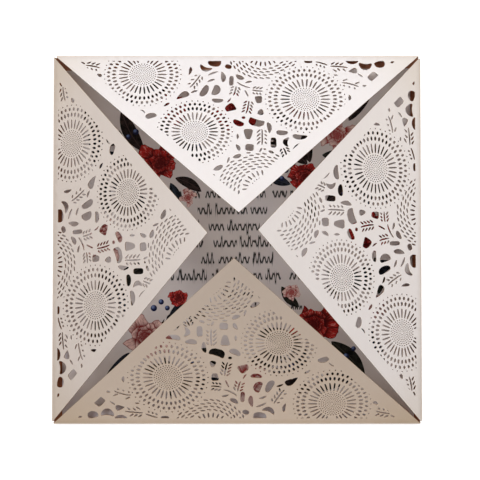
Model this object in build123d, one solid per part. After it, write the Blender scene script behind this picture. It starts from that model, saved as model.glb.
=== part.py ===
from build123d import *
import math
import os

# A square wedding card: a laser-cut wrapper folded from one sheet, round a loose printed insert card.
# Millimetres, +Z up. The card lies on its back panel with the top of the card towards +Y, and the origin
# is the middle of the outer face of that panel.

# Wrapper sheet
card_side = 150.0           # from fold to fold, outside
sheet_thickness = 0.3
fold_radius = 1.0           # inside radius of each fold, which has sprung open from its crease

# How far each flap has sprung up from lying flat, in degrees
top_lift_angle = 27.2
left_lift_angle = 31.2
bottom_lift_angle = 27.5
right_lift_angle = 26.2

# How far each flap leans along its fold, in degrees, because the sheet is folded a little off square
top_skew_angle = -0.5
left_skew_angle = -0.5
bottom_skew_angle = -0.9
right_skew_angle = 1.6

# Insert card
insert_thickness = 0.3
insert_clearance = 3.75     # room on each side between the insert and the outside of the folds
insert_drop = 1.9           # how far the loose insert has slid towards the bottom fold
insert_turn = 0.4           # and how far it has turned, in degrees

# Lace: the flap it is drawn for, its plain margins, and the least paper left between two cuts
drawn_height = 73.7         # a flap of another height has the whole drawing at another scale
hinge_margin = 2.2
edge_margin = 5.5
bridge = 0.4
least_cut = 1.5             # a cut that a margin leaves shorter than this is left out
small_corners = 4           # straight edges round a petal or a scale
large_corners = 6           # and round a leaf or a pebble

# Round medallions: straight rays round a plain eye, and a ring of petals outside them
ray_count = 18
ray_inner_radius = 5.8
ray_outer_radius = 9.6
ray_width = 0.9
petal_count = 16
petal_gap = 1.4             # paper between the rays and the petals
petal_length = 3.0
petal_width = 1.8

# Fans: part medallions at the fold and near the tip, with rings of scales in place of petals
fan_ray_count = 14
fan_inner_radius = 6.4
fan_outer_radius = 9.0
scale_ring_count = 2
scale_gap = 1.4             # paper between the rays and the first scales
scale_ring_pitch = 3.0
scale_length = 3.6
scale_width = 1.2
scale_pitch = 5.2

# Leaves and pebbles between the medallions
leaf_length = 5.0
leaf_width = 2.4
pebble_length = 4.2
pebble_width = 3.2

# Places on a flap, as shares of its height: along the fold from its middle, then up towards the tip
medallion_shares = ((-0.52, 0.12), (-0.23, 0.50), (0.37, 0.285))
fan_shares = ((0.14, -0.06), (0.14, 0.86))
# The same for leaves and pebbles, with the turn of each in degrees
leaf_shares = (
    (-0.46, 0.395, -15), (-0.30, 0.255, -35), (-0.175, 0.225, -65), (-0.105, 0.295, 5),
    (0.165, 0.465, 80), (0.185, 0.565, 90), (0.325, 0.53, 0), (-0.08, 0.145, 80),
    (-0.165, 0.075, -50),
)
pebble_shares = (
    (-0.035, 0.345, -30), (0.11, 0.29, 0), (0.09, 0.43, 20), (0.057, 0.515, 90),
    (0.70, 0.065, 0), (0.735, 0.135, -45),
)

# Worked out from the above
outer_radius = fold_radius + sheet_thickness
panel_half = card_side / 2 - outer_radius       # the flat of the back panel, and the flap's own height
insert_side = card_side - 2 * insert_clearance
lace_scale_share = panel_half / drawn_height
petal_radius = ray_outer_radius + petal_gap + petal_length / 2
scale_ring_radius = fan_outer_radius + scale_gap + scale_width / 2


def polar(centre, radius, angle):
    """The point at a radius and an angle in degrees from a centre."""
    turn = math.radians(angle)
    return (centre[0] + radius * math.cos(turn), centre[1] + radius * math.sin(turn))


def bar(centre, inner, outer, width, angle):
    """A straight slot that points away from a centre."""
    across = angle + 90
    near = polar(centre, inner, angle)
    far = polar(centre, outer, angle)
    half = width / 2
    return [polar(near, half, across), polar(near, -half, across),
            polar(far, -half, across), polar(far, half, across)]


def leaf(centre, length, width, angle, corners):
    """A pointed leaf about its own centre, cut with a few straight edges."""
    points = []
    for corner in range(corners):
        turn = 2 * math.pi * corner / corners
        along = polar(centre, length / 2 * math.cos(turn), angle)
        points.append(polar(along, width / 2 * math.sin(turn), angle + 90))
    return points


def clipped(points):
    """The part of a cut inside the lace field of a flap, or nothing if too little is left."""
    slant = math.sqrt(2)
    insides = (
        lambda p: p[1] - hinge_margin,
        lambda p: (drawn_height - p[0] - p[1]) / slant - edge_margin,
        lambda p: (drawn_height + p[0] - p[1]) / slant - edge_margin,
    )
    for inside in insides:
        kept = []
        for start, end in zip(points, points[1:] + points[:1]):
            if inside(start) >= 0:
                kept.append(start)
            if inside(start) * inside(end) < 0:
                share = inside(start) / (inside(start) - inside(end))
                kept.append((start[0] + share * (end[0] - start[0]), start[1] + share * (end[1] - start[1])))
        points = kept
    reach = max((math.dist(start, end) for start in points for end in points), default=0)
    return points if reach >= least_cut else []


def outline(points):
    """Points along the edges of a cut, no further apart than the least paper between cuts."""
    dots = []
    for start, end in zip(points, points[1:] + points[:1]):
        steps = math.ceil(math.dist(start, end) / bridge)
        for step in range(steps):
            share = step / steps
            dots.append((start[0] + share * (end[0] - start[0]), start[1] + share * (end[1] - start[1])))
    return dots


def apart(dots, others):
    """True if a cut leaves enough paper between itself and every cut made before it."""
    return all(math.dist(dot, other) >= bridge for dot in dots for other in others)


def on_flap(shares):
    """A place on the drawn flap from its shares of the flap's height."""
    return (drawn_height * shares[0], drawn_height * shares[1])


def medallion_cuts(centre):
    """A ring of rays and a ring of petals."""
    cuts = []
    for ray in range(ray_count):
        cuts.append(bar(centre, ray_inner_radius, ray_outer_radius, ray_width, 360 * ray / ray_count))
    for petal in range(petal_count):
        turn = 360 * (petal + 0.5) / petal_count
        cuts.append(leaf(polar(centre, petal_radius, turn), petal_length, petal_width, turn, small_corners))
    return cuts


def fan_cuts(centre):
    """A ring of rays and rings of scales, which the margins cut down to a fan."""
    cuts = []
    for ray in range(fan_ray_count):
        cuts.append(bar(centre, fan_inner_radius, fan_outer_radius, ray_width, 360 * ray / fan_ray_count))
    for ring in range(scale_ring_count):
        radius = scale_ring_radius + ring * scale_ring_pitch
        count = int(2 * math.pi * radius / scale_pitch)
        for scale in range(count):
            turn = 360 * (scale + ring / 2) / count
            cuts.append(leaf(polar(centre, radius, turn), scale_length, scale_width, turn + 90, small_corners))
    return cuts


def wanted_cuts():
    """Every cut of the lace in order of rank, before the margins and bridges are looked at."""
    cuts = []
    for shares in medallion_shares:
        cuts += medallion_cuts(on_flap(shares))
    for shares in pebble_shares:
        cuts.append(leaf(on_flap(shares), pebble_length, pebble_width, shares[2], large_corners))
    for shares in leaf_shares:
        cuts.append(leaf(on_flap(shares), leaf_length, leaf_width, shares[2], large_corners))
    for shares in fan_shares:
        cuts += fan_cuts(on_flap(shares))
    return cuts


def lace_cuts():
    """The cuts of one flap, as outlines in the flap's own plane."""
    cuts = []
    traced = []
    for points in map(clipped, wanted_cuts()):
        dots = outline(points) if points else []
        if dots and all(apart(dots, others) for others in traced):
            cuts.append([(lace_scale_share * x, lace_scale_share * y) for x, y in points])
            traced.append(dots)
    return cuts


def flap_and_fold(side_angle, lift_angle, skew_angle, mirrored, cuts):
    """One lace flap and the crease that joins it to the back panel."""
    lean = math.tan(math.radians(skew_angle))
    outward = Vector(1, 0, 0).rotate(Axis.Z, side_angle)
    up = Vector(0, 0, 1)
    rise = math.radians(lift_angle)
    normal = outward * math.sin(rise) + up * math.cos(rise)
    along = up.cross(outward)
    crease = outward * panel_half + up * outer_radius
    plane = Plane(crease + normal * fold_radius, x_dir=along, z_dir=normal)

    def wire(points):
        return Wire.make_polygon([plane.from_local_coords((x + lean * y, y, 0)) for x, y in points])

    border = wire([(-panel_half, 0), (panel_half, 0), (0, panel_half)])
    holes = [wire([(-x, y) if mirrored else (x, y) for x, y in points]) for points in cuts]
    flap = Solid.extrude(Face(border, holes), normal * sheet_thickness)

    ends = [crease + along * side + normal * radius
            for side, radius in ((-panel_half, fold_radius), (panel_half, fold_radius),
                                 (panel_half, outer_radius), (-panel_half, outer_radius))]
    fold = Solid.revolve(Face(Wire.make_polygon(ends)), 180 - lift_angle, Axis(crease, along))
    return [flap, fold]


def wrapper():
    """The folded sheet: back panel, four creases and four lace flaps in one solid."""
    cuts = lace_cuts()
    panel = Pos(0, 0, sheet_thickness / 2) * Box(2 * panel_half, 2 * panel_half, sheet_thickness)
    pieces = flap_and_fold(0, right_lift_angle, right_skew_angle, False, cuts)
    pieces += flap_and_fold(90, top_lift_angle, top_skew_angle, True, cuts)
    pieces += flap_and_fold(180, left_lift_angle, left_skew_angle, False, cuts)
    pieces += flap_and_fold(270, bottom_lift_angle, bottom_skew_angle, True, cuts)
    return panel.fuse(*pieces)


def insert_card():
    """The loose card, where it has slid to on the back panel."""
    card = Box(insert_side, insert_side, insert_thickness)
    return Pos(0, -insert_drop, sheet_thickness + insert_thickness / 2) * Rot(0, 0, insert_turn) * card


os.makedirs("parts", exist_ok=True)
export_step(wrapper(), "parts/wrapper.step")
export_step(insert_card(), "parts/insert_card.step")
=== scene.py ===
import math

import bpy
from mathutils import Matrix, Vector


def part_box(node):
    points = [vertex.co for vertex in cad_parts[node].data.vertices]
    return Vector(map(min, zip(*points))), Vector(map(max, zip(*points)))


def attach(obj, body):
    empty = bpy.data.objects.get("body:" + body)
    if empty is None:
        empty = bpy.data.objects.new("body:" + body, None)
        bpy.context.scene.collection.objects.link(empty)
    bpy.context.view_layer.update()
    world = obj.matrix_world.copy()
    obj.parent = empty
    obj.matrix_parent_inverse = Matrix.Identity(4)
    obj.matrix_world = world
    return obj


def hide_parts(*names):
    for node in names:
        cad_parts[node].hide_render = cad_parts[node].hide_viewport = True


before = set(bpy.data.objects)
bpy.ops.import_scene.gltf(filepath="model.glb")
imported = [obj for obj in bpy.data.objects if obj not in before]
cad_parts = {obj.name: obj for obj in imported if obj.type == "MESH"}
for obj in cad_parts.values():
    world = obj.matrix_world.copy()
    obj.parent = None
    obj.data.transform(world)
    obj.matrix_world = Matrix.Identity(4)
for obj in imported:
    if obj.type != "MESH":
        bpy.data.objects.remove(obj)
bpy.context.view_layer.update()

# A laser-cut wedding card: a pearl wrapper round a loose printed card. The wrapper is folded from one sheet
# and cut into lace on its four flaps. It is made here again with the full lace, and takes the place of its
# solid. The printed card keeps its solid.
mm = 0.001

# The wrapper's sheet, in millimetres and degrees. Only its outside is modelled, then given its thickness.
half_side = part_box("wrapper")[1][0] / mm
sheet = 0.3
fold_inside = 1.0
fold_outside = fold_inside + sheet
panel_half = half_side - fold_outside       # the flat of the back panel, and the height of a flap
fold_steps = 14
upward = Vector((0, 0, 1))
seam_strip = 0.25                           # plain strip beside each fold, which keeps its shading narrow
weld_reach = seam_strip / 50                # points nearer than this become one
smooth_angle = 30                           # edges that turn less than this are shaded smooth
# Flaps: the way each one faces, how far it has sprung up, how far it leans along its fold, and whether its
# lace is turned over
flaps = ((0, 26.2, 1.6, False), (90, 27.2, -0.5, True), (180, 31.2, -0.5, False), (270, 27.5, -0.9, True))

# The lace of one flap, in millimetres and degrees. Across is along the fold from its middle, and up is from
# the card's edge towards the tip
fold_reach = 0.6            # from the card's edge to the flat of the flap
hinge_margin = 2.0          # plain paper along the fold
edge_margin = 5.1           # and along the two slanting edges
bridge = 0.2                # least paper between two cuts
least_cut_share = 0.25      # a cut that the margins leave with less than this share of itself is left out
# How each kind of cut is drawn. A square value below one blunts its ends, and a value above one points them
dot_style = {"corners": 6}
ray_style = {"square": 0.6}
stem_style = {"square": 0.6, "corners": 12}
leaflet_style = {"square": 0.85, "taper": -0.3}
block_style = {"square": 0.55, "corners": 16}
pebble_style = {"square": 0.85, "corners": 16}
leaf_style = {"square": 1.15, "corners": 12}

# Medallions: across, up, and size beside the largest
medallions = ((-38.3, 9.4, 0.97), (-17.1, 37.3, 0.93), (27.2, 21.6, 1.0))
# Dots of the eye: radius, count and dot of each ring
eye_rings = (
    (0.75, 7, 0.36), (1.4, 12, 0.38), (2.1, 17, 0.42), (2.85, 22, 0.46), (3.65, 26, 0.5), (4.5, 30, 0.52),
    (5.35, 30, 0.55),
)
ray_count = 30
ray_inside = 6.1
ray_outside = 10.1
ray_width = 0.68
ring_count = 42
inner_ring = 12.0
outer_ring = 14.3
dot_ring = 16.0
inner_oval = (1.8, 0.98)
outer_oval = (1.45, 1.05)
ring_dot = 0.6

# Fans at the fold and near the tip: across, up, and the rings of scales round each
fans = ((10.5, -3.6, 4), (10.3, 64.0, 6))
fan_eye_rings = ((4.6, 26, 0.46), (5.5, 30, 0.5))
fan_ray_count = 26
fan_inside = 6.6
fan_outside = 8.9
first_scales = 10.3
scale_step = 1.52
scale_pitch = 2.55
scale_size = (2.0, 0.7)
scale_skew = 16

# Loose cuts between them: across, up, length, width, turn in degrees, bend, taper
leaves = (
    (-9.8, 8.8, 4.6, 0.9, -25, 0.2, 0), (-10.6, 12.4, 3.3, 1.0, -22, 0.2, 0.2),
    (-19.1, 7.6, 4.1, 1.3, 100, 0.3, -0.3), (-5.8, 10.6, 5.3, 2.1, 84, 0.3, 0.2),
    (1.0, 10.7, 4.0, 2.1, 35, -0.3, 0.2), (4.5, 13.2, 3.0, 1.0, -15, 0.2, 0.2),
    (-17.4, 17.9, 3.0, 1.0, -22, 0.2, 0.2), (12.4, 35.3, 5.2, 1.9, 84, 0.4, -0.2),
    (-0.1, 39.5, 2.5, 1.0, 90, 0, 0), (0.0, 44.7, 3.3, 1.6, 65, 0.2, 0.2),
    (22.7, 44.6, 4.8, 1.2, -48, 0.2, 0.5), (13.0, 46.8, 2.4, 1.2, 25, 0, 0),
    (-0.4, 48.8, 3.6, 1.9, -22, -0.2, 0.2), (-3.9, 50.6, 2.9, 0.9, 108, 0.1, 0),
    (-7.8, 54.2, 4.2, 2.1, -30, -0.2, 0.1), (-9.6, 57.8, 1.5, 1.1, 90, 0, 0),
    (-28.4, 24.2, 2.8, 1.1, -35, 0.1, 0.2), (-55.8, 9.8, 2.3, 1.5, 30, 0, 0.4),
    (49.8, 9.8, 2.6, 0.8, 40, 0, 0), (51.4, 15.1, 2.0, 1.0, 15, 0, 0),
    (45.0, 20.9, 3.0, 1.2, 88, 0.2, 0.2), (63.3, 3.3, 1.8, 1.1, -10, 0, 0),
    (-3.4, 22.1, 2.7, 0.7, 125, 0.2, 0), (-1.9, 21.2, 1.4, 0.7, 150, 0, 0),
    (46.8, 2.7, 5.2, 3.2, 2, 0, 0),
    (39.6, 7.4, 2.2, 0.7, 35, 0, 0.2), (39.9, 9.7, 1.8, 0.7, 5, 0, 0),
    (8.9, 45.9, 2.2, 0.8, 115, 0, 0), (10.5, 45.5, 1.2, 0.8, 20, 0, 0),
    (-37.8, 27.5, 2.6, 0.6, 40, 0.3, 0),
)
pebbles = (
    (-9.2, 3.4, 5.4, 4.2, 0, 0, 0.15), (-12.9, 6.2, 5.3, 2.2, 25, -1.4, 0.1),
    (-3.6, 5.5, 2.8, 2.2, 20, 0, 0), (-13.3, 17.5, 6.1, 2.8, 116, 0.35, 0.1),
    (-8.7, 17.2, 5.2, 3.2, 109, 0.7, 0), (-8.0, 22.2, 4.6, 2.0, 3, -0.4, 0),
    (-22.1, 19.9, 5.8, 2.5, -32, 0.3, 0.65), (9.2, 27.8, 2.9, 2.3, -80, 0, -0.35),
    (2.3, 30.5, 1.5, 1.3, 0, 0, 0), (0.2, 33.0, 4.8, 2.6, 30, -0.4, 0.1),
    (17.5, 37.7, 4.7, 2.3, 3, -0.3, -0.1), (24.5, 39.6, 5.9, 2.3, 4, -0.6, -0.2),
    (19.2, 42.1, 4.4, 1.9, 98, -1.3, 0), (-34.6, 29.7, 4.6, 2.5, -15, 0.3, -0.1),
    (52.1, 5.0, 5.4, 3.2, 4, -1.5, 0), (58.0, 4.2, 4.4, 3.4, -12, -0.4, 0.1),
    (46.9, 7.6, 3.6, 2.3, -8, 0, 0.7),
)
blocks = (
    (-2.4, 12.6, 4.8, 1.8, 93, 0, 0), (-3.0, 25.8, 4.3, 3.4, -28, 0.4, 0.3),
    (8.5, 21.8, 3.5, 2.8, 85, 0, -0.2), (4.1, 38.4, 4.9, 3.1, 90, 0, -0.38),
    (14.0, 42.4, 4.8, 2.4, 90, 0, 0), (4.5, 44.7, 3.4, 3.2, 5, 0, 0.05),
    (54.9, 10.4, 4.4, 3.2, -48, 0, 0), (7.4, 32.7, 6.4, 3.3, 18, -0.9, -0.1),
    (29.0, 2.8, 3.2, 1.8, 0, 0, 0),
)
# Sprigs: where the stem starts and ends, its bow, and the count and length of the leaflets on its right and
# then on its left
sprigs = (
    (-14.8, 9.6, -19.1, 16.0, 0.3, 4, 1.8, 3, 1.4), (9.6, 36.0, 9.5, 43.6, 0.2, 4, 1.4, 4, 2.3),
    (4.7, 22.4, 3.4, 28.6, 0.3, 4, 1.9, 4, 1.9), (-0.2, 13.4, 5.0, 16.2, -0.5, 0, 0, 1, 2.3),
    (5.9, 17.2, 10.2, 17.7, -0.2, 3, 1.8, 3, 1.3), (-0.4, 15.3, -1.6, 19.9, 0.3, 3, 1.8, 3, 1.6),
    (32.0, 2.9, 36.8, 4.7, 0.3, 0, 0, 3, 1.1), (37.8, 5.1, 45.0, 5.9, 0.2, 4, 2.0, 3, 1.8),
    (42.2, 13.2, 49.0, 15.3, 0.5, 4, 2.2, 3, 1.0), (-61.6, 4.7, -55.8, 6.0, 0.3, 3, 2.0, 3, 1.2),
    (-63.4, 3.2, -61.9, 4.2, 0.1, 0, 0, 0, 0), (17.9, 44.8, 19.2, 48.9, 0.2, 3, 1.8, 3, 1.7),
    (3.0, 17.2, 4.3, 20.3, 0.1, 0, 0, 0, 0),
)
stem_width = 0.66
leaflet_width = 0.72
leaflet_lean = 42
leaflet_gap = 1.45          # from the line of the stem to the middle of a leaflet
first_leaflet_share = 0.6   # where the first leaflet stands, in steps from one leaflet to the next
stem_end_share = 0.2        # how much longer the stem is than one step for each leaflet

# The print on the loose card, in millimetres from its middle. Blossoms: across, up, radius, seed, tint
card_drop = 1.9
card_turn = 0.4
blossoms = (
    (-31, 33, 8.5, 0.3, "red"), (-20, 19, 3.4, 1.7, "pink"), (41, 44, 8.0, 2.9, "pink"),
    (28, 27, 6.5, 4.1, "red"), (-37, -38, 10.0, 5.2, "rose"), (-24, -22, 4.2, 6.6, "red"),
    (31, -33, 9.0, 7.4, "red"), (22, -20, 3.6, 8.3, "pink"), (0, 54, 9.0, 9.9, "red"),
    (-54, 2, 9.0, 10.4, "rose"), (54, 4, 9.0, 11.8, "red"), (5, -56, 9.0, 12.1, "pink"),
    (26, 56, 6.0, 13.7, "rose"), (-26, 55, 6.5, 14.2, "red"), (56, -26, 6.0, 15.5, "rose"),
)
# Leaves: across and up of the stalk, turn, length, width. Fronds are the same, cut into leaflets
print_leaves = (
    (-38, 38, 118, 19, 6.0), (-40, 34, 168, 17, 5.5), (-30, 41, 82, 15, 5.0), (-25, 27, -28, 12, 4.2),
    (-27, 25, -75, 11, 4.0), (35, 36, -12, 18, 6.0), (30, 33, 95, 14, 5.0), (22, 24, 152, 12, 4.2),
    (26, 20, -62, 13, 4.4), (46, 50, 50, 14, 5.0), (-44, -44, -130, 16, 6.0), (-30, -46, -80, 16, 5.4),
    (-46, -32, 160, 16, 5.4), (-28, -30, 32, 12, 4.2), (38, -40, -48, 20, 6.4), (40, -30, 12, 17, 5.6),
    (26, -41, -100, 17, 5.6), (25, -26, 130, 11, 4.0), (9, 52, -8, 16, 5.4), (-9, 56, 170, 15, 5.2),
    (-52, 12, 96, 16, 5.4), (-55, -8, -94, 16, 5.4), (54, 14, 88, 17, 5.6), (56, -6, -84, 15, 5.2),
    (14, -58, -6, 16, 5.4), (-5, -56, 178, 16, 5.4), (-13, 44, 38, 20, 7.5), (15, 42, -35, 17, 6.4),
    (-52, 27, -42, 20, 7.0), (-50, -20, 42, 19, 6.8), (52, 30, -140, 20, 7.5), (48, -16, 26, 18, 6.5),
    (-16, -43, -28, 20, 7.0), (20, -42, 205, 19, 6.8), (-60, 48, -74, 22, 7.5), (60, 50, -102, 22, 7.0),
    (-61, -48, 62, 20, 7.0), (60, -50, 118, 20, 7.0), (-10, 35, 155, 22, 7.0), (-46, 58, 20, 20, 7.0),
    (16, 61, -20, 22, 7.5), (-62, -18, -70, 20, 7.0), (-34, 8, 150, 20, 7.0), (62, 16, 110, 22, 7.5),
    (36, -12, -20, 20, 7.0), (-38, -50, -25, 20, 7.5), (30, -60, 20, 22, 7.0), (8, -36, -20, 20, 7.0),
)
fronds = (
    (-44, 40, 140, 24, 9.0), (-24, 34, -2, 20, 7.0), (38, 40, 12, 22, 8.0), (24, 30, 120, 18, 7.0),
    (-32, -34, 15, 20, 7.5), (-42, -30, 118, 22, 8.0), (36, -28, 62, 20, 7.5), (28, -42, -142, 20, 7.0),
    (-54, -12, -60, 20, 7.0), (55, 16, 130, 18, 7.0),
)
frond_leaflets = 9
frond_fill_share = 0.3      # half the width of a leaflet, beside the step from one to the next
leaf_bow_share = 0.18       # how far a leaf bows sideways, beside its width
leaf_point = 0.8            # how pointed a leaf is: below one its sides are fuller
leaf_stem_share = 0.035     # half the thickness of a frond's stem, beside its width
leaflet_sweep = 2.2         # how far the leaflets of a frond lean towards its tip
vein_rate = 34.0            # how close the veins of a leaf are, and how they lean
vein_slant = -16.0
rib_shares = (0.02, 0.05)   # where the pale midrib starts to fade and where it ends, beside the width
wash_scale = 0.45           # how fine the clouds of colour in a leaf are
# Berries: across, up, radius
berries = (
    (20, 30, 1.3), (23, 32.5, 1.1), (18.5, 26.5, 1.0), (-34, -26, 1.3), (-31, -23.5, 1.1),
    (-28.5, -26, 1.0), (-41, 46, 1.2), (-44, 44, 1.0), (37, -26, 1.3), (34.5, -23.5, 1.1),
    (44, -46, 1.2), (47, -43, 1.0), (-15, 40, 1.2), (16, 44, 1.2), (-45, 20, 1.2), (44, 20, 1.2),
    (-18, -48, 1.2), (22, -50, 1.2),
)
bloom_shares = (-0.3, 0.35, 0.0)    # the middle of a berry's pale bloom, beside its radius
bloom_reach_share = 0.9
# How a blossom is drawn, beside its radius: the wander of its outline, the closeness and unevenness of its
# petals, their fade from root to rim, their streaks, and the reach of its dark heart
petal_wander_share = 0.35
petal_wander_scale = 1.7
petal_round = 1.05
petal_scale = 1.7
petal_uneven_share = 0.8
petal_fade = (-0.36, 0.2)
streak_draw = (9.0, 9.0, 2.2)
streak_scale = 1.6
heart_shares = (0.08, 0.6)
# Tints of the print, dark and light, in steps from 0 to 255
leaf_tints = (((12, 12, 11), (70, 68, 60)), ((20, 13, 15), (84, 66, 62)), ((12, 15, 24), (66, 74, 90)))
blossom_tints = {
    "red": ((72, 5, 9), (206, 48, 42)),
    "rose": ((124, 12, 18), (250, 212, 204)),
    "pink": ((166, 54, 54), (250, 226, 218)),
}
# Rows of a pen line in the middle, in runs with a gap between them
line_pitch = 6.7
line_reach = 27.0           # from the middle to the ends of the longest rows, and to the first and last row
wave_pitch = 1.9
wave_height = 1.9
tall_wave = 1.3             # how much further some waves reach up, and a few reach down
tall_crest_share = 0.32
tall_trough_share = 0.12
wave_drift = 0.5            # how soon the spacing of the waves changes along a row
pen_width = 0.68
ink_share = 0.95
run_pitch = 11.5
run_gap_share = 0.17
run_sway_share = 0.2        # how uneven the runs are, and how soon that changes along and between rows
run_sway_rate = 0.33
run_sway_step = 2.1
row_shift_share = 0.37      # how far the runs are shifted from one row to the next
row_end_step = 2.3          # sets which rows are short

# Finishes and painted shade, in millimetres. Depths are in from the card's edge, where an effect starts and
# where it is full
# The warm tan along the folds is partly wear and partly painted shade, with a ragged edge
wear_and_shade_depths = (2.6, 0.5)
wear_and_shade_wander = 1.6
# Painted shade: the brown inside the hollow of each fold
hollow_shade_depths = (9.0, 4.5)
# Painted shade: the warm tan in the corners
corner_shade_reach = 40           # from a corner inwards, along both sides together
tooth_depth = 0.02          # fine tooth of the wrapper's card, and of the smoother printed one
print_tooth_depth = 0.01
# Patterns of the card, in repeats to the metre, and how far its fibres are drawn out
tooth_scale = 2600
cloud_scale = 55
fibre_scale = 900
fibre_draw_share = 0.12
# how ragged the edge of the tints of wear and painted shade along the folds is
wear_and_shade_scale = 420

# Studio, in millimetres and degrees: camera, lamps, room and floor
camera_place = (0, -26, 599)
camera_aim = (1.2, -0.4, 0)
camera_lens = 110.3
camera_sensor = 36.0
lamp_distance = 900
lamp_size = 500
# Lamps: the way each one stands from the card, its height in degrees, its power in watts and its colour
lamps = (
    ("Window", 90, 25, 1.5, (0.66, 0.8, 1.0)),
    ("Back_Right", 45, 40, 3.68, (0.99, 1.0, 0.97)),
    ("Back_Left", 135, 40, 2.4, (1.0, 0.95, 0.88)),
    ("Right_Side", 0, 34, 1.15, (0.8, 0.87, 1.0)),
    ("Left_Side", 180, 50, 2.7, (0.87, 0.92, 1.0)),
    ("Front", 270, 15, 0.8, (1.0, 0.7, 0.4)),
)
room_colour = (1.0, 0.85, 0.7, 1)
room_strength = 0.075
floor_side = 4000
floor_gap = 0.1
floor_glow = 0.7


def paint(red, green, blue):
    """A colour from 0 to 255 steps of red, green and blue, as Blender's own linear colour."""
    linear = []
    for step in (red, green, blue):
        share = step / 255
        linear.append(share / 12.92 if share <= 0.04045 else ((share + 0.055) / 1.055) ** 2.4)
    return (*linear, 1.0)


# Lace drawing

def polar(centre, radius, angle):
    """The point at a radius and an angle in degrees from a centre."""
    turn = math.radians(angle)
    return (centre[0] + radius * math.cos(turn), centre[1] + radius * math.sin(turn))


def part_way(start, end, share):
    """The point at a share of the way from one point to another."""
    return (start[0] + share * (end[0] - start[0]), start[1] + share * (end[1] - start[1]))


def cut(centre, size, angle, bend=0.0, taper=0.0, square=1.0, corners=8):
    """Points round a cut that lies along an angle: bent sideways, wider at one end, or squared."""
    along = polar((0, 0), 1, angle)
    across = polar((0, 0), 1, angle + 90)
    ring = []
    for corner in range(corners):
        turn = 2 * math.pi * (corner + 0.5) / corners
        x = math.copysign(abs(math.cos(turn)) ** square, math.cos(turn))
        y = math.copysign(abs(math.sin(turn)) ** square, math.sin(turn))
        far = x * size[0] / 2
        side = y * size[1] / 2 * (1 + taper * x) + bend * (x * x - 0.5)
        ring.append((centre[0] + far * along[0] + side * across[0],
                     centre[1] + far * along[1] + side * across[1]))
    return ring


def eye_dots(centre, size, rings):
    """Rings of fine dots in the eye of a medallion or a fan."""
    cuts = []
    for ring, (radius, dots, dot_size) in enumerate(rings):
        for dot in range(dots):
            angle = 360 * (dot + ring / 2) / dots
            cuts.append(cut(polar(centre, radius * size, angle), (dot_size, dot_size), angle, **dot_style))
    return cuts


def medallion(across, up, size):
    """An eye of fine dots, a ring of rays, two rings of ovals and a ring of dots."""
    centre = (across, up)
    cuts = []
    for ray in range(ray_count):
        angle = 360 * ray / ray_count
        middle = polar(centre, (ray_inside + ray_outside) / 2 * size, angle)
        cuts.append(cut(middle, ((ray_outside - ray_inside) * size, ray_width), angle, **ray_style))
    for oval in range(ring_count):
        angle = 360 * oval / ring_count
        between = 360 * (oval + 0.5) / ring_count
        cuts.append(cut(polar(centre, inner_ring * size, angle), inner_oval, angle))
        cuts.append(cut(polar(centre, outer_ring * size, between), outer_oval, between))
        cuts.append(cut(polar(centre, dot_ring * size, angle), (ring_dot, ring_dot), angle, **dot_style))
    return cuts + eye_dots(centre, size, eye_rings)


def fan(across, up, rings):
    """A ring of rays and rings of scales, which the margins cut down to a fan."""
    centre = (across, up)
    cuts = eye_dots(centre, 1, fan_eye_rings)
    for ray in range(fan_ray_count):
        angle = 360 * ray / fan_ray_count
        middle = polar(centre, (fan_inside + fan_outside) / 2, angle)
        cuts.append(cut(middle, (fan_outside - fan_inside, ray_width), angle, **ray_style))
    for ring in range(rings):
        radius = first_scales + ring * scale_step
        count = round(2 * math.pi * radius / scale_pitch)
        for scale in range(count):
            angle = 360 * (scale + ring / 2) / count
            cuts.append(cut(polar(centre, radius, angle), scale_size, angle + 90 + scale_skew))
    return cuts


def sprig(start_x, start_y, end_x, end_y, bow, right, right_length, left, left_length):
    """A stem with leaflets that lean towards its tip."""
    start = (start_x, start_y)
    end = (end_x, end_y)
    angle = math.degrees(math.atan2(end_y - start_y, end_x - start_x))
    middle = ((start_x + end_x) / 2, (start_y + end_y) / 2)
    cuts = [cut(middle, (math.dist(start, end), stem_width), angle, bend=bow, **stem_style)]
    for side, count, length in ((-1, right, right_length), (1, left, left_length)):
        lean = angle + side * leaflet_lean
        for leaflet in range(count):
            root = part_way(start, end, (leaflet + first_leaflet_share) / (count + stem_end_share))
            place = polar(root, leaflet_gap, angle + side * 90)
            cuts.append(cut(place, (length, leaflet_width), lean, **leaflet_style))
    return cuts


def clipped(points):
    """The part of a cut inside the margins of a flap."""
    slant = math.sqrt(2)
    insides = (
        lambda p: p[1] - hinge_margin,
        lambda p: (panel_half - p[0] - p[1]) / slant - edge_margin,
        lambda p: (panel_half + p[0] - p[1]) / slant - edge_margin,
    )
    for inside in insides:
        kept = []
        for start, end in zip(points, points[1:] + points[:1]):
            if inside(start) >= 0:
                kept.append(start)
            if inside(start) * inside(end) < 0:
                kept.append(part_way(start, end, inside(start) / (inside(start) - inside(end))))
        points = kept
    return points


def traced(points):
    """Points along the edges of a cut, no further apart than the least paper between cuts."""
    dots = []
    for start, end in zip(points, points[1:] + points[:1]):
        steps = max(1, math.ceil(math.dist(start, end) / bridge))
        dots += [part_way(start, end, step / steps) for step in range(steps)]
    return dots


def area_of(points):
    """The area that a cut takes out."""
    return abs(sum(a[0] * b[1] - b[0] * a[1] for a, b in zip(points, points[1:] + points[:1]))) / 2


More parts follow.
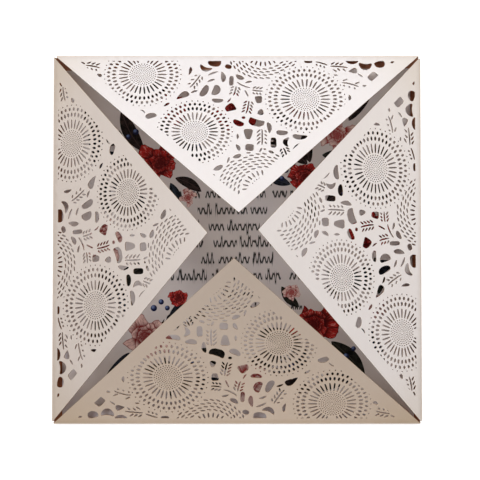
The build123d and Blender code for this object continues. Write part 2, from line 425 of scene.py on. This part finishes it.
def lace_cuts():
    """The cuts of one flap, in order of rank, where each leaves enough paper beside those before it."""
    wanted = []
    for rows, style in ((blocks, block_style), (pebbles, pebble_style), (leaves, leaf_style)):
        wanted += [cut(row[:2], row[2:4], *row[4:], **style) for row in rows]
    for row in medallions:
        wanted += medallion(*row)
    for row in sprigs:
        wanted += sprig(*row)
    for row in fans:
        wanted += fan(*row)
    kept = []
    for points in wanted:
        whole = area_of(points)
        points = clipped([(x, y - fold_reach) for x, y in points])
        if len(points) < 3 or area_of(points) < least_cut_share * whole:
            continue
        middle = (sum(x for x, y in points) / len(points), sum(y for x, y in points) / len(points))
        reach = max(math.dist(middle, point) for point in points)
        dots = traced(points)
        near = [theirs for _, spot, far, theirs in kept if math.dist(middle, spot) < reach + far + bridge]
        if all(math.dist(a, b) >= bridge for theirs in near for a in dots for b in theirs):
            kept.append((points, middle, reach, dots))
    return [points for points, _, _, _ in kept]


# Modelling

def only(piece):
    """Selects one object and makes it the active one."""
    bpy.ops.object.select_all(action="DESELECT")
    piece.select_set(True)
    bpy.context.view_layer.objects.active = piece


def flat_lace(cuts):
    """One flap laid flat, as a mesh with its cuts through it and a plain strip along the fold."""
    curve = bpy.data.curves.new("Flap_Lace", "CURVE")
    curve.dimensions = "2D"
    curve.fill_mode = "BOTH"
    border = [(-panel_half, 0), (panel_half, 0), (0, panel_half)]
    for ring in [border] + cuts:
        spline = curve.splines.new("POLY")
        spline.points.add(len(ring) - 1)
        for point, place in zip(spline.points, ring):
            point.co = (*place, 0, 1)
        spline.use_cyclic_u = True
    flap = bpy.data.objects.new("Flap_Lace", curve)
    bpy.context.collection.objects.link(flap)
    only(flap)
    bpy.ops.object.convert(target="MESH")
    bpy.ops.object.mode_set(mode="EDIT")
    bpy.ops.mesh.select_all(action="SELECT")
    bpy.ops.mesh.bisect(plane_co=(0, seam_strip, 0), plane_no=(0, 1, 0))
    bpy.ops.mesh.select_all(action="SELECT")
    bpy.ops.mesh.normals_make_consistent(inside=False)
    bpy.ops.object.mode_set(mode="OBJECT")
    return flap


def select_edge(mesh, outward):
    """Selects the border edge of the panel that faces one way."""
    for edge in mesh.edges:
        ends = [mesh.vertices[index].co for index in edge.vertices]
        at_border = all(abs(end.dot(outward) - panel_half) < seam_strip / 2 for end in ends)
        edge.select = at_border and all(abs(end.z) < seam_strip / 2 for end in ends)


def add_fold(wrapper, outward, along, centre, rise):
    """Spins one border edge of the panel round into a fold."""
    only(wrapper)
    bpy.ops.object.mode_set(mode="EDIT")
    bpy.ops.mesh.select_mode(type="EDGE")
    bpy.ops.mesh.select_all(action="DESELECT")
    bpy.ops.object.mode_set(mode="OBJECT")
    select_edge(wrapper.data, outward)
    bpy.ops.object.mode_set(mode="EDIT")
    bpy.ops.mesh.spin(steps=fold_steps, angle=math.pi - rise, center=centre, axis=along)
    bpy.ops.object.mode_set(mode="OBJECT")


def flap_place(outward, along, centre, rise, skew, turned):
    """The matrix that sets the flat flap at the end of its fold, with its lean and turned over or not."""
    normal = outward * math.sin(rise) + upward * math.cos(rise)
    inward = upward * math.sin(rise) - outward * math.cos(rise)
    place = Matrix((along, inward, normal)).transposed().to_4x4()
    place.translation = centre + normal * fold_outside
    lean = Matrix.Identity(4)
    lean[0][1] = math.tan(math.radians(skew))
    turn_over = Matrix.Scale(-1 if turned else 1, 4, (1, 0, 0))
    return place @ lean @ turn_over


def lace_wrapper():
    """Back panel, four folds and four lace flaps, as one sheet without thickness."""
    bpy.ops.object.select_all(action="DESELECT")
    bpy.ops.mesh.primitive_plane_add(size=2 * panel_half, location=(0, 0, 0))
    wrapper = bpy.context.object
    wrapper.name = "Lace_Wrapper"
    bpy.ops.object.mode_set(mode="EDIT")
    bpy.ops.mesh.inset(thickness=seam_strip)
    bpy.ops.object.mode_set(mode="OBJECT")
    flap = flat_lace(lace_cuts())
    copies = []
    for facing, lift, skew, turned in flaps:
        outward = Vector((*polar((0, 0), 1, facing), 0))
        along = upward.cross(outward)
        rise = math.radians(lift)
        centre = outward * panel_half + upward * fold_outside
        add_fold(wrapper, outward, along, centre, rise)
        copy = flap.copy()
        copy.data = flap.data.copy()
        bpy.context.collection.objects.link(copy)
        copy.data.transform(flap_place(outward, along, centre, rise, skew, turned))
        copies.append(copy)
    bpy.data.objects.remove(flap)
    only(wrapper)
    for copy in copies:
        copy.select_set(True)
    bpy.ops.object.join()
    bpy.ops.object.mode_set(mode="EDIT")
    bpy.ops.mesh.select_all(action="SELECT")
    bpy.ops.mesh.remove_doubles(threshold=weld_reach)
    bpy.ops.mesh.normals_make_consistent(inside=False)
    bpy.ops.object.mode_set(mode="OBJECT")
    return wrapper


def thicken(wrapper, materials):
    """Gives the sheet its thickness inwards, and materials to its outside, its inside and its cut edges."""
    for material in materials:
        wrapper.data.materials.append(material)
    only(wrapper)
    wall = wrapper.modifiers.new("Sheet", "SOLIDIFY")
    wall.thickness = sheet
    wall.offset = -1
    wall.material_offset = 1
    wall.material_offset_rim = 2
    bpy.ops.object.modifier_apply(modifier=wall.name)
    wrapper.data.transform(Matrix.Scale(mm, 4))
    bpy.ops.object.shade_smooth_by_angle(angle=math.radians(smooth_angle))


# Node helpers

def add_node(tree, kind, **settings):
    """A node with its settings."""
    made = tree.nodes.new(kind)
    for name, value in settings.items():
        setattr(made, name, value)
    return made


def feed(tree, socket, value):
    """Links a socket to another one, or sets it to a plain value."""
    if isinstance(value, bpy.types.NodeSocket):
        tree.links.new(value, socket)
    else:
        socket.default_value = value


def sums(tree, operation, *values):
    """The result of one Math node."""
    made = add_node(tree, "ShaderNodeMath", operation=operation)
    for socket, value in zip(made.inputs, values):
        feed(tree, socket, value)
    return made.outputs[0]


def arrows(tree, operation, *values, scale=None):
    """The result of one Vector Math node."""
    made = add_node(tree, "ShaderNodeVectorMath", operation=operation)
    for socket, value in zip(made.inputs, values):
        feed(tree, socket, value)
    if scale is not None:
        feed(tree, made.inputs["Scale"], scale)
    return made.outputs["Value"] if operation in ("LENGTH", "DOT_PRODUCT") else made.outputs["Vector"]


def parts_of(tree, vector):
    """The three numbers of a vector."""
    made = add_node(tree, "ShaderNodeSeparateXYZ")
    feed(tree, made.inputs[0], vector)
    return made.outputs


def vector_of(tree, x, y, z):
    """A vector of three numbers."""
    made = add_node(tree, "ShaderNodeCombineXYZ")
    for socket, value in zip(made.inputs, (x, y, z)):
        feed(tree, socket, value)
    return made.outputs[0]


def ease(tree, value, low, high, start=0.0, end=1.0):
    """A smooth step from start to end while a value goes from low to high."""
    made = add_node(tree, "ShaderNodeMapRange", interpolation_type="SMOOTHSTEP")
    for socket, number in zip(made.inputs, (value, low, high, start, end)):
        feed(tree, socket, number)
    return made.outputs[0]


def blend(tree, share, first, second):
    """Two colours mixed by a share of the second."""
    made = add_node(tree, "ShaderNodeMix", data_type="RGBA")
    for socket, value in ((0, share), (6, first), (7, second)):
        feed(tree, made.inputs[socket], value)
    return made.outputs[2]


def noise(tree, vector, scale, detail=2.0):
    """A noise texture's outputs, Fac and Color."""
    made = add_node(tree, "ShaderNodeTexNoise")
    for name, value in (("Vector", vector), ("Scale", scale), ("Detail", detail)):
        feed(tree, made.inputs[name], value)
    return made.outputs


def new_group(name, inputs, outputs):
    """An empty shader node group with named sockets, and its two end nodes."""
    tree = bpy.data.node_groups.new(name, "ShaderNodeTree")
    for socket, kind in inputs:
        tree.interface.new_socket(socket, in_out="INPUT", socket_type="NodeSocket" + kind)
    for socket, kind in outputs:
        tree.interface.new_socket(socket, in_out="OUTPUT", socket_type="NodeSocket" + kind)
    return tree, add_node(tree, "NodeGroupInput").outputs, add_node(tree, "NodeGroupOutput").inputs


def use_group(tree, group, **values):
    """Places a group in a node tree with its own values. Gives its outputs."""
    made = add_node(tree, "ShaderNodeGroup", node_tree=group)
    for name, value in values.items():
        feed(tree, made.inputs[name], value)
    return made.outputs


def new_material(name):
    """A material with its shader, its node tree and the place on the piece."""
    material = bpy.data.materials.new(name)
    material.use_nodes = True
    tree = material.node_tree
    shader = tree.nodes["Principled BSDF"]
    place = add_node(tree, "ShaderNodeTexCoord").outputs["Object"]
    return material, tree, shader, place


# Finishes and painted shade

def paper_group():
    """Fine tooth, soft clouding and short fibres of card stock, from a place in metres."""
    tree, given, made = new_group("Card_Stock", [("Place", "Vector")],
                                  [("Tooth", "Float"), ("Cloud", "Float"), ("Fibre", "Float")])
    feed(tree, made["Tooth"], noise(tree, given["Place"], tooth_scale, 3)["Fac"])
    feed(tree, made["Cloud"], noise(tree, given["Place"], cloud_scale, 3)["Fac"])
    drawn = arrows(tree, "MULTIPLY", given["Place"], (1.0, fibre_draw_share, 1.0))
    fibre = noise(tree, drawn, fibre_scale)["Fac"]
    feed(tree, made["Fibre"], ease(tree, fibre, 0.45, 0.75))
    return tree


def fold_group():
    """How near a place on the wrapper is to a fold, to the hollow of a fold, and to a corner, as masks for
    the tints of wear and painted shade.
    """
    tree, given, made = new_group("Fold_Wear_And_Shade", [("Place", "Vector")],
                                  [("Fold", "Float"), ("Hollow", "Float"), ("Corner", "Float")])
    away = parts_of(tree, arrows(tree, "ABSOLUTE", given["Place"]))
    outer = sums(tree, "MAXIMUM", away[0], away[1])
    inner = sums(tree, "MINIMUM", away[0], away[1])
    ragged = noise(tree, given["Place"], wear_and_shade_scale, 3)["Fac"]
    wander = sums(tree, "MULTIPLY", sums(tree, "SUBTRACT", ragged, 0.5), wear_and_shade_wander * mm)
    edge = sums(tree, "ADD", outer, wander)
    # Fold marks the tint that is partly wear and partly painted shade, Hollow the painted shade inside each
    # fold
    for mask, (start, full) in (("Fold", wear_and_shade_depths), ("Hollow", hollow_shade_depths)):
        feed(tree, made[mask], ease(tree, edge, (half_side - start) * mm, (half_side - full) * mm))
    # Corner marks the painted shade in the corners
    corner = sums(tree, "ADD", inner, outer)
    feed(tree, made["Corner"], ease(tree, corner, (2 * half_side - corner_shade_reach) * mm, 2 * half_side * mm))
    return tree


def finish_card(tree, shader, tooth, depth, strength):
    """Feeds the fine tooth of the card to a shader's normal."""
    bump = add_node(tree, "ShaderNodeBump")
    feed(tree, bump.inputs["Height"], tooth)
    bump.inputs["Distance"].default_value = depth * mm
    bump.inputs["Strength"].default_value = strength
    feed(tree, shader.inputs["Normal"], bump.outputs["Normal"])


def pearl_outside(paper, folds):
    """Ivory pearl coat, with a warm tan along the folds that is partly rubbed thin and partly painted
    shade, and painted warm shade in the corners.
    """
    material, tree, shader, place = new_material("Pearl_Outside")
    stock = use_group(tree, paper, Place=place)
    wear_and_shade = use_group(tree, folds, Place=place)
    coat = blend(tree, stock["Cloud"], paint(226, 208, 194), paint(232, 216, 203))
    coat = blend(tree, sums(tree, "MULTIPLY", stock["Fibre"], 0.12), coat, paint(240, 229, 217))
    # Painted shade: a warm tan in the corners
    coat = blend(tree, sums(tree, "MULTIPLY", wear_and_shade["Corner"], 0.55), coat, paint(214, 190, 158))
    # Partly wear, partly painted shade: a warm tan along the folds
    coat = blend(tree, sums(tree, "MULTIPLY", wear_and_shade["Fold"], 0.52), coat, paint(198, 174, 150))
    feed(tree, shader.inputs["Base Color"], coat)
    feed(tree, shader.inputs["Roughness"], ease(tree, stock["Tooth"], 0.2, 0.8, 0.36, 0.46))
    shader.inputs["IOR"].default_value = 2.2
    shader.inputs["Coat Weight"].default_value = 1.0
    shader.inputs["Coat Roughness"].default_value = 0.36
    shader.inputs["Coat IOR"].default_value = 2.0
    finish_card(tree, shader, stock["Tooth"], tooth_depth, 0.25)
    return material


def pearl_inside(paper, folds):
    """The uncoated inside of the wrapper, with painted brown shade in the hollow of each fold."""
    material, tree, shader, place = new_material("Pearl_Inside")
    stock = use_group(tree, paper, Place=place)
    hollow_shade = use_group(tree, folds, Place=place)["Hollow"]
    bare = blend(tree, stock["Cloud"], paint(206, 180, 156), paint(216, 192, 168))
    # Painted shade: brown in the hollow of each fold
    brown = blend(tree, stock["Cloud"], paint(172, 106, 72), paint(184, 118, 82))
    bare = blend(tree, hollow_shade, bare, brown)
    bare = blend(tree, sums(tree, "MULTIPLY", stock["Fibre"], 0.12), bare, paint(226, 206, 184))
    feed(tree, shader.inputs["Base Color"], bare)
    shader.inputs["Roughness"].default_value = 0.6
    finish_card(tree, shader, stock["Tooth"], tooth_depth, 0.3)
    return material


def toasted_edge(paper):
    """The edges that the laser has cut and browned."""
    material, tree, shader, place = new_material("Toasted_Edge")
    stock = use_group(tree, paper, Place=place)
    brown = blend(tree, stock["Tooth"], paint(158, 124, 92), paint(188, 158, 126))
    feed(tree, shader.inputs["Base Color"], brown)
    shader.inputs["Roughness"].default_value = 0.75
    return material


# Print

def from_middle(tree, given):
    """The way from a motif's middle to a place, flat on the card and in shares of the motif's radius."""
    away = arrows(tree, "SUBTRACT", given["Place"], given["Middle"])
    away = arrows(tree, "SCALE", away, scale=sums(tree, "DIVIDE", 1.0, given["Radius"]))
    return arrows(tree, "MULTIPLY", away, (1.0, 1.0, 0.0))


def blossom_group():
    """A round blossom of overlapping petals: its colour, and its mask."""
    tree, given, made = new_group(
        "Print_Blossom",
        [("Place", "Vector"), ("Middle", "Vector"), ("Radius", "Float"), ("Seed", "Float"),
         ("Dark", "Color"), ("Light", "Color")],
        [("Colour", "Color"), ("Mask", "Float")])
    away = from_middle(tree, given)
    seeded = arrows(tree, "ADD", away, vector_of(tree, given["Seed"], 0, 0))
    wander = arrows(tree, "SUBTRACT", noise(tree, seeded, petal_wander_scale)["Color"], (0.5, 0.5, 0.5))
    wander = arrows(tree, "SCALE", wander, scale=petal_wander_share)
    away = arrows(tree, "MULTIPLY", arrows(tree, "ADD", away, wander), (1.0, 1.0, 0.0))
    reach = sums(tree, "MAXIMUM", arrows(tree, "LENGTH", away), 0.03)
    layer = sums(tree, "ADD", sums(tree, "LOGARITHM", reach, math.e), given["Seed"])
    rounded = arrows(tree, "SCALE", arrows(tree, "NORMALIZE", away), scale=petal_round)
    spread = arrows(tree, "ADD", rounded, vector_of(tree, 0, 0, layer))
    petal = add_node(tree, "ShaderNodeTexVoronoi")
    rim = add_node(tree, "ShaderNodeTexVoronoi", feature="DISTANCE_TO_EDGE")
    for cells in (petal, rim):
        feed(tree, cells.inputs["Vector"], spread)
        cells.inputs["Scale"].default_value = petal_scale
        cells.inputs["Randomness"].default_value = petal_uneven_share
    root = parts_of(tree, petal.outputs["Position"])[2]
    rise = ease(tree, sums(tree, "SUBTRACT", layer, root), *petal_fade)
    streak = noise(tree, arrows(tree, "MULTIPLY", spread, streak_draw), streak_scale, 3)["Fac"]
    rise = sums(tree, "MULTIPLY", rise, ease(tree, streak, 0.3, 0.6, 0.45, 1.0))
    tint = blend(tree, rise, given["Dark"], given["Light"])
    fleck = sums(tree, "MULTIPLY", ease(tree, streak, 0.54, 0.68, 0.0, 0.4), rise)
    tint = blend(tree, fleck, tint, paint(246, 222, 212))
    heart = ease(tree, reach, *heart_shares, 0.2, 1.0)
    line = ease(tree, rim.outputs["Distance"], 0.0, 0.1, 0.2, 1.0)
    shade = sums(tree, "MULTIPLY", heart, line)
    feed(tree, made["Colour"], blend(tree, shade, given["Dark"], tint))
    feed(tree, made["Mask"], sums(tree, "LESS_THAN", root, sums(tree, "SUBTRACT", given["Seed"], 0.2)))
    return tree


def leaf_group():
    """A pointed leaf with a pale midrib, whole or cut into leaflets: its colour, and its mask."""
    tree, given, made = new_group(
        "Print_Leaf",
        [("Place", "Vector"), ("Stalk", "Vector"), ("Turn", "Float"), ("Length", "Float"),
         ("Width", "Float"), ("Leaflets", "Float"), ("Fill", "Float"),
         ("Dark", "Color"), ("Light", "Color")],
        [("Colour", "Color"), ("Mask", "Float")])
    flat = arrows(tree, "MULTIPLY", given["Place"], (1.0, 1.0, 0.0))
    away = arrows(tree, "SUBTRACT", flat, given["Stalk"])
    turned = add_node(tree, "ShaderNodeVectorRotate", rotation_type="Z_AXIS", invert=True)
    feed(tree, turned.inputs["Vector"], away)
    feed(tree, turned.inputs["Angle"], given["Turn"])
    x, y, _ = parts_of(tree, turned.outputs[0])
    along = sums(tree, "DIVIDE", x, given["Length"])
    bow = sums(tree, "MULTIPLY", sums(tree, "SINE", sums(tree, "MULTIPLY", along, math.pi)), leaf_bow_share)
    side = sums(tree, "ABSOLUTE", sums(tree, "SUBTRACT", sums(tree, "DIVIDE", y, given["Width"]), bow))
    left = sums(tree, "SUBTRACT", 1.0, along)
    hump = sums(tree, "MAXIMUM", sums(tree, "MULTIPLY", along, left), 0.0)
    half = sums(tree, "POWER", sums(tree, "MULTIPLY", hump, 4.0), leaf_point)
    half = sums(tree, "MULTIPLY", half, 0.5)
    steps = sums(tree, "MULTIPLY", along, given["Leaflets"])
    swept = sums(tree, "SUBTRACT", steps, sums(tree, "MULTIPLY", side, leaflet_sweep))
    gap = sums(tree, "ABSOLUTE", sums(tree, "SUBTRACT", sums(tree, "FRACT", swept), 0.5))
    stem = sums(tree, "LESS_THAN", side, leaf_stem_share)
    whole = sums(tree, "MAXIMUM", sums(tree, "LESS_THAN", gap, given["Fill"]), stem)
    feed(tree, made["Mask"], sums(tree, "MULTIPLY", sums(tree, "LESS_THAN", side, half), whole))
    vein = sums(tree, "MULTIPLY", side, vein_slant)
    vein = sums(tree, "ADD", sums(tree, "MULTIPLY", along, vein_rate), vein)
    vein = ease(tree, sums(tree, "SINE", vein), 0.75, 1.0, 0.0, 0.35)
    rib = ease(tree, side, *rib_shares, 0.7, 0.0)
    wash = ease(tree, noise(tree, flat, wash_scale)["Fac"], 0.4, 0.75, 0.0, 0.55)
    pale = sums(tree, "MAXIMUM", sums(tree, "MAXIMUM", vein, rib), wash)
    feed(tree, made["Colour"], blend(tree, pale, given["Dark"], given["Light"]))
    return tree


def berry_group():
    """A round berry with a pale bloom on one side: its colour, and its mask."""
    tree, given, made = new_group(
        "Print_Berry", [("Place", "Vector"), ("Middle", "Vector"), ("Radius", "Float")],
        [("Colour", "Color"), ("Mask", "Float")])
    away = from_middle(tree, given)
    lit = arrows(tree, "LENGTH", arrows(tree, "SUBTRACT", away, bloom_shares))
    shade = ease(tree, lit, 0.0, bloom_reach_share)
    feed(tree, made["Colour"], blend(tree, shade, paint(120, 140, 190), paint(30, 34, 70)))
    feed(tree, made["Mask"], sums(tree, "LESS_THAN", arrows(tree, "LENGTH", away), 1.0))
    return tree


def rows_group():
    """Rows of a wavy pen line in the middle of the card, broken into runs, as a mask."""
    tree, given, made = new_group("Print_Rows", [("Place", "Vector")], [("Mask", "Float")])
    x, y, _ = parts_of(tree, given["Place"])
    number = sums(tree, "ROUND", sums(tree, "DIVIDE", y, line_pitch))
    height = sums(tree, "SUBTRACT", y, sums(tree, "MULTIPLY", number, line_pitch))
    drift = vector_of(tree, sums(tree, "MULTIPLY", x, wave_drift), number, 0.5)
    drift = noise(tree, drift, 1.0, 1)["Fac"]
    waves = sums(tree, "ADD", sums(tree, "DIVIDE", x, wave_pitch), drift)
    phase = sums(tree, "MULTIPLY", waves, 2 * math.pi)
    swing = sums(tree, "SINE", phase)
    crest = sums(tree, "GREATER_THAN", swing, 0.0)
    chance = add_node(tree, "ShaderNodeTexWhiteNoise", noise_dimensions="3D")
    feed(tree, chance.inputs["Vector"], vector_of(tree, sums(tree, "FLOOR", waves), number, crest))
    rare = sums(tree, "MULTIPLY", crest, tall_crest_share - tall_trough_share)
    rare = sums(tree, "SUBTRACT", 1 - tall_trough_share, rare)
    reach = sums(tree, "MULTIPLY", sums(tree, "GREATER_THAN", chance.outputs["Value"], rare), tall_wave)
    tall = sums(tree, "ADD", reach, wave_height / 2)
    curve = sums(tree, "MULTIPLY", swing, tall)
    slope = sums(tree, "MULTIPLY", sums(tree, "COSINE", phase), tall)
    slope = sums(tree, "MULTIPLY", slope, 2 * math.pi / wave_pitch)
    steep = sums(tree, "SQRT", sums(tree, "MULTIPLY_ADD", slope, slope, 1.0))
    away = sums(tree, "DIVIDE", sums(tree, "ABSOLUTE", sums(tree, "SUBTRACT", height, curve)), steep)
    line = ease(tree, away, pen_width / 4, pen_width * 3 / 4, 1.0, 0.0)
    sway = sums(tree, "MULTIPLY_ADD", number, run_sway_step, sums(tree, "MULTIPLY", x, run_sway_rate))
    sway = sums(tree, "SINE", sway)
    run = sums(tree, "MULTIPLY_ADD", sway, run_sway_share, sums(tree, "DIVIDE", x, run_pitch))
    run = sums(tree, "FRACT", sums(tree, "MULTIPLY_ADD", number, row_shift_share, run))
    run = sums(tree, "GREATER_THAN", run, run_gap_share)
    ends = vector_of(tree, sums(tree, "MULTIPLY", number, row_end_step), 0.7, 0)
    ends = noise(tree, ends, 1.0, 0)["Fac"]
    ends = ease(tree, ends, 0.35, 0.65, line_reach / 2, line_reach)
    inside = sums(tree, "LESS_THAN", sums(tree, "ABSOLUTE", x), ends)
    inside = sums(tree, "MULTIPLY", inside, sums(tree, "LESS_THAN", sums(tree, "ABSOLUTE", y), line_reach))
    feed(tree, made["Mask"], sums(tree, "MULTIPLY", sums(tree, "MULTIPLY", line, run), inside))
    return tree


def print_over(tree, shown, spot, under):
    """Prints a motif over what is there: the place with one more layer of ink, and the new colour."""
    inked = arrows(tree, "ADD", spot, vector_of(tree, 0, 0, shown["Mask"]))
    return inked, blend(tree, shown["Mask"], under, shown["Colour"])


def garland(tree, spot, print_colour):
    """Prints fronds and leaves, then berries, then blossoms over a colour, and gives the new colour."""
    leaf, blossom, berry = leaf_group(), blossom_group(), berry_group()
    sprays = [(*row, frond_leaflets, frond_fill_share) for row in fronds]
    sprays += [(*row, 0, 1) for row in print_leaves]
    for number, (across, up, turn, length, width, leaflets, fill) in enumerate(sprays):
        dark, light = leaf_tints[number % len(leaf_tints)]
        shown = use_group(tree, leaf, Place=spot, Stalk=(across, up, 0), Turn=math.radians(turn),
                          Length=length, Width=width, Leaflets=leaflets, Fill=fill,
                          Dark=paint(*dark), Light=paint(*light))
        spot, print_colour = print_over(tree, shown, spot, print_colour)
    for across, up, radius in berries:
        shown = use_group(tree, berry, Place=spot, Middle=(across, up, 0), Radius=radius)
        spot, print_colour = print_over(tree, shown, spot, print_colour)
    for across, up, radius, seed, tint in blossoms:
        dark, light = blossom_tints[tint]
        shown = use_group(tree, blossom, Place=spot, Middle=(across, up, 0), Radius=radius, Seed=seed,
                          Dark=paint(*dark), Light=paint(*light))
        spot, print_colour = print_over(tree, shown, spot, print_colour)
    return print_colour


def printed_card(paper):
    """Smooth white card, printed on its upper face with rows of a pen line and a garland."""
    material, tree, shader, place = new_material("Printed_Card")
    stock = use_group(tree, paper, Place=place)
    spot = add_node(tree, "ShaderNodeMapping", vector_type="TEXTURE")
    feed(tree, spot.inputs["Vector"], place)
    spot.inputs["Location"].default_value = (0, -card_drop * mm, 0)
    spot.inputs["Rotation"].default_value = (0, 0, math.radians(card_turn))
    spot.inputs["Scale"].default_value = (mm, mm, mm)
    # The height of the place counts the layers of ink under the next one
    spot = arrows(tree, "MULTIPLY", spot.outputs[0], (1.0, 1.0, 0.0))
    white = blend(tree, stock["Cloud"], paint(228, 219, 217), paint(234, 225, 223))
    ink = paint(24, 20, 22)
    rows = use_group(tree, rows_group(), Place=spot)["Mask"]
    print_colour = blend(tree, sums(tree, "MULTIPLY", rows, ink_share), white, ink)
    print_colour = garland(tree, spot, print_colour)
    facing = parts_of(tree, add_node(tree, "ShaderNodeNewGeometry").outputs["Normal"])[2]
    upper = sums(tree, "GREATER_THAN", facing, 0.5)
    feed(tree, shader.inputs["Base Color"], blend(tree, upper, white, print_colour))
    shader.inputs["Roughness"].default_value = 0.55
    shader.inputs["Specular IOR Level"].default_value = 0.12
    finish_card(tree, shader, stock["Tooth"], print_tooth_depth, 0.2)
    return material


# Studio

def light_floor():
    """A pale floor that looks white and keeps the card's shadow."""
    bpy.ops.object.select_all(action="DESELECT")
    bpy.ops.mesh.primitive_plane_add(size=floor_side * mm, location=(0, 0, -floor_gap * mm))
    floor = bpy.context.object
    floor.name = "Floor"
    bpy.ops.object.transform_apply(location=True, rotation=True, scale=True)
    material, tree, shader, _ = new_material("Floor_White")
    shader.inputs["Base Color"].default_value = (0.86, 0.86, 0.86, 1)
    shader.inputs["Roughness"].default_value = 0.9
    shader.inputs["Specular IOR Level"].default_value = 0.0
    shader.inputs["Emission Color"].default_value = (1, 1, 1, 1)
    rays = add_node(tree, "ShaderNodeLightPath")
    seen = sums(tree, "ADD", rays.outputs["Is Camera Ray"], rays.outputs["Is Glossy Ray"])
    seen = sums(tree, "ADD", seen, rays.outputs["Is Transmission Ray"])
    feed(tree, shader.inputs["Emission Strength"], sums(tree, "MULTIPLY", seen, floor_glow))
    floor.data.materials.append(material)


def place_lamps():
    """Round lamps, all at one distance from the card and turned to its middle."""
    for name, facing, height, power, colour in lamps:
        lamp = bpy.data.lights.new(name, "AREA")
        lamp.shape = "DISK"
        lamp.size = lamp_size * mm
        lamp.energy = power
        lamp.color = colour
        stand = bpy.data.objects.new(name, lamp)
        bpy.context.collection.objects.link(stand)
        rise = math.radians(height)
        reach = lamp_distance * math.cos(rise)
        stand.location = Vector((*polar((0, 0), reach, facing), lamp_distance * math.sin(rise))) * mm
        stand.rotation_euler = (-stand.location).to_track_quat("-Z", "Y").to_euler()


def place_camera():
    """The camera at its place, turned to the card with the card's top upwards."""
    eye = bpy.data.cameras.new("Camera")
    eye.lens = camera_lens
    eye.sensor_width = camera_sensor
    camera = bpy.data.objects.new("Camera", eye)
    bpy.context.collection.objects.link(camera)
    camera.location = Vector(camera_place) * mm
    back = (camera.location - Vector(camera_aim) * mm).normalized()
    right = Vector((0, 1, 0)).cross(back).normalized()
    camera.rotation_euler = Matrix((right, back.cross(right), back)).transposed().to_euler()
    bpy.context.scene.camera = camera


def studio():
    """World, lamps, floor and camera."""
    scene = bpy.context.scene
    scene.view_settings.view_transform = "Standard"
    world = bpy.data.worlds.new("Studio")
    scene.world = world
    world.use_nodes = True
    tree = world.node_tree
    back = tree.nodes["Background"]
    seen = add_node(tree, "ShaderNodeLightPath").outputs["Is Camera Ray"]
    feed(tree, back.inputs["Color"], blend(tree, seen, room_colour, (1, 1, 1, 1)))
    feed(tree, back.inputs["Strength"], ease(tree, seen, 0.0, 1.0, room_strength, 1.0))
    place_lamps()
    light_floor()
    place_camera()


paper = paper_group()
wrapper = lace_wrapper()
folds = fold_group()
thicken(wrapper, (pearl_outside(paper, folds), pearl_inside(paper, folds), toasted_edge(paper)))
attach(wrapper, "root")
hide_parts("wrapper")

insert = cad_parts["insert_card"]
insert.data.materials.clear()
insert.data.materials.append(printed_card(paper))

studio()
